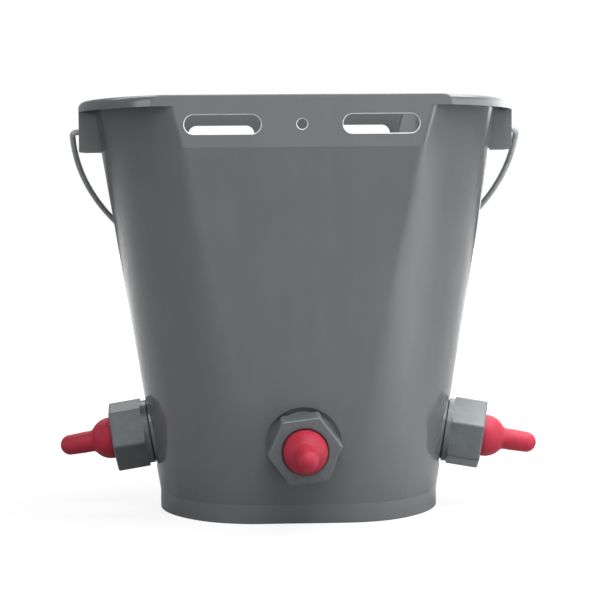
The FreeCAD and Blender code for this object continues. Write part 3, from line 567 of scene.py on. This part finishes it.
# %% [markdown]
# ## Floor, light and camera
#
# The picture is a plain studio shot on a white sweep. The bucket's walls lean outwards, so what they mirror is the
# floor: its tone sets the tone of the walls, and the bucket's own shadow on it makes them darker near the foot. The
# floor is therefore a real, pale grey floor, and only the camera sees it lifted to white, less so near the bucket,
# where the shadow is kept.

# %% Floor
floor = bmesh.new()
bmesh.ops.create_grid(floor, x_segments=1, y_segments=1, size=6)
floor_mesh = bpy.data.meshes.new("studio_floor")
floor.to_mesh(floor_mesh)
floor.free()
studio_floor = bpy.data.objects.new("studio_floor", floor_mesh)
bpy.context.scene.collection.objects.link(studio_floor)
paper, tree, place = new_material("matt_white_background_paper")
fibre = noise(tree, place, 2, 3.0)
sheet = bump(tree, fibre, 0.05, 0.1)
matt = add_node(tree, "ShaderNodeBsdfDiffuse", {"Color": linear("#989898"), "Normal": sheet}).outputs["BSDF"]
lifted = add_node(tree, "ShaderNodeEmission", {"Color": (1, 1, 1, 1), "Strength": 1.3}).outputs["Emission"]
seen = add_node(tree, "ShaderNodeLightPath").outputs["Is Camera Ray"]
fade = spread(tree, length(tree, place), 0.2, 0.5, 0.65, 1.0)
share = arithmetic(tree, "MULTIPLY", seen, fade)
both = add_node(tree, "ShaderNodeMixShader", {0: share, 1: matt, 2: lifted}).outputs["Shader"]
add_node(tree, "ShaderNodeOutputMaterial", {"Surface": both})
floor_mesh.materials.append(paper)
print("floor laid")

# %% [markdown]
# Softboxes are rectangles of light. Two stand high, in front and overhead, and weaker ones fill in from the front and
# the sides. The floor has a lamp of its own on the right, low and narrow, because its pool of light is what the
# glossy wall mirrors as the upright bands that show its curve. The last lights the sweep behind.


# %% Lamps
def softbox(name, place, target, width, height, watts):
    """A rectangular lamp at a place, aimed at a target, all in metres."""
    lamp = bpy.data.lights.new(name, "AREA")
    lamp.shape = "RECTANGLE"
    lamp.size = width
    lamp.size_y = height
    lamp.energy = watts
    holder = bpy.data.objects.new(name, lamp)
    holder.location = place
    aim = Vector(target) - Vector(place)
    holder.rotation_euler = aim.to_track_quat("-Z", "Y").to_euler()
    bpy.context.scene.collection.objects.link(holder)
    return holder


softbox("key_softbox", (0.1, -0.8, 1.0), (0, 0, 0.18), 0.9, 0.6, 11)
softbox("top_softbox", (0.45, 0.0, 1.05), (0, 0, 0.25), 1.0, 0.8, 15)
softbox("front_softbox", (-0.1, -1.6, 0.5), (0, 0, 0.2), 1.2, 1.2, 4)
softbox("right_softbox", (1.2, -0.55, 0.45), (0, 0, 0.15), 0.6, 0.9, 8)
softbox("left_softbox", (-1.3, -0.3, 0.6), (0, 0, 0.15), 0.5, 0.9, 4)
pool = softbox("floor_softbox", (0.68, -0.42, 0.4), (0.68, -0.42, 0), 1.0, 0.7, 12)
pool.data.spread = math.radians(60)
backdrop = softbox("backdrop_softbox", (0, 1.6, 1.2), (0, 1.5, 0), 2.6, 1.4, 60)
backdrop.data.spread = math.radians(110)

# %% [markdown]
# The world is a different white for each kind of ray. The camera sees it pure. Matt surfaces get a low, even fill.
# Mirroring surfaces see a studio drawn in two gradients: a bright sweep far behind, which shines on what faces
# upwards, and a bright wall low on the right, which the rim's edge and the right of the wall pick up.

# %% World
world = bpy.data.worlds.new("studio_white")
bpy.context.scene.world = world
world.use_nodes = True
tree = world.node_tree
tree.nodes.clear()
paths = add_node(tree, "ShaderNodeLightPath").outputs
way = add_node(tree, "ShaderNodeTexCoord").outputs["Generated"]
way = add_node(tree, "ShaderNodeSeparateXYZ", {"Vector": way}).outputs
aside = arithmetic(tree, "MINIMUM", arithmetic(tree, "MULTIPLY", way["X"], 3.0), 0.3)
behind = arithmetic(tree, "ADD", aside, way["Y"])
sheen = spread(tree, behind, 0.72, 0.98, 0.15, 1.7)
low = spread(tree, way["Z"], 0.15, 0.4, 1.0, 0.0)
walls = spread(tree, way["X"], 0.1, 0.8, 0.15, 2.3)
studio = arithmetic(tree, "ADD", sheen, arithmetic(tree, "MULTIPLY", low, walls))
straight = arithmetic(tree, "MAXIMUM", paths["Is Camera Ray"], paths["Is Transmission Ray"])
fill = add_node(tree, "ShaderNodeBackground", {"Color": (1, 1, 1, 1), "Strength": 0.3}).outputs[0]
mirrored = add_node(tree, "ShaderNodeBackground", {"Color": (1, 1, 1, 1), "Strength": studio}).outputs[0]
shown = add_node(tree, "ShaderNodeBackground", {"Color": (1, 1, 1, 1), "Strength": 1.0}).outputs[0]
sky = add_node(tree, "ShaderNodeMixShader", {0: paths["Is Glossy Ray"], 1: fill, 2: mirrored}).outputs["Shader"]
sky = add_node(tree, "ShaderNodeMixShader", {0: straight, 1: sky, 2: shown}).outputs["Shader"]
add_node(tree, "ShaderNodeOutputWorld", {"Surface": sky})
bpy.context.scene.view_settings.view_transform = "Standard"
print("world:", world.name)

# %% [markdown]
# The camera was fitted to the photograph: it stands 1.37 m away and 22 cm up, a little left of the middle, and looks
# slightly down, as far as the rim's two lines and the foot's curve in the picture ask for.

# %% Camera
yaw, pitch, roll = (math.radians(angle) for angle in (-2.45, -3.18, -0.50))
picture_width, focal_pixels = 600, 1981.7
right = Vector((math.cos(yaw), math.sin(yaw), 0))
ahead = Vector((-math.sin(yaw) * math.cos(pitch), math.cos(yaw) * math.cos(pitch), math.sin(pitch)))
up = right.cross(ahead)
tilted_right = right * math.cos(roll) + up * math.sin(roll)
tilted_up = up * math.cos(roll) - right * math.sin(roll)
lens = bpy.data.cameras.new("studio_camera")
lens.sensor_width = 36
lens.lens = focal_pixels * lens.sensor_width / picture_width
camera = bpy.data.objects.new("studio_camera", lens)
axes = Matrix((tilted_right, tilted_up, -ahead)).transposed()
camera.matrix_world = Matrix.Translation(mm(-56.5, -1372.6, 218.6)) @ axes.to_4x4()
bpy.context.scene.collection.objects.link(camera)
bpy.context.scene.camera = camera
print("lens:", round(lens.lens, 1), "mm")
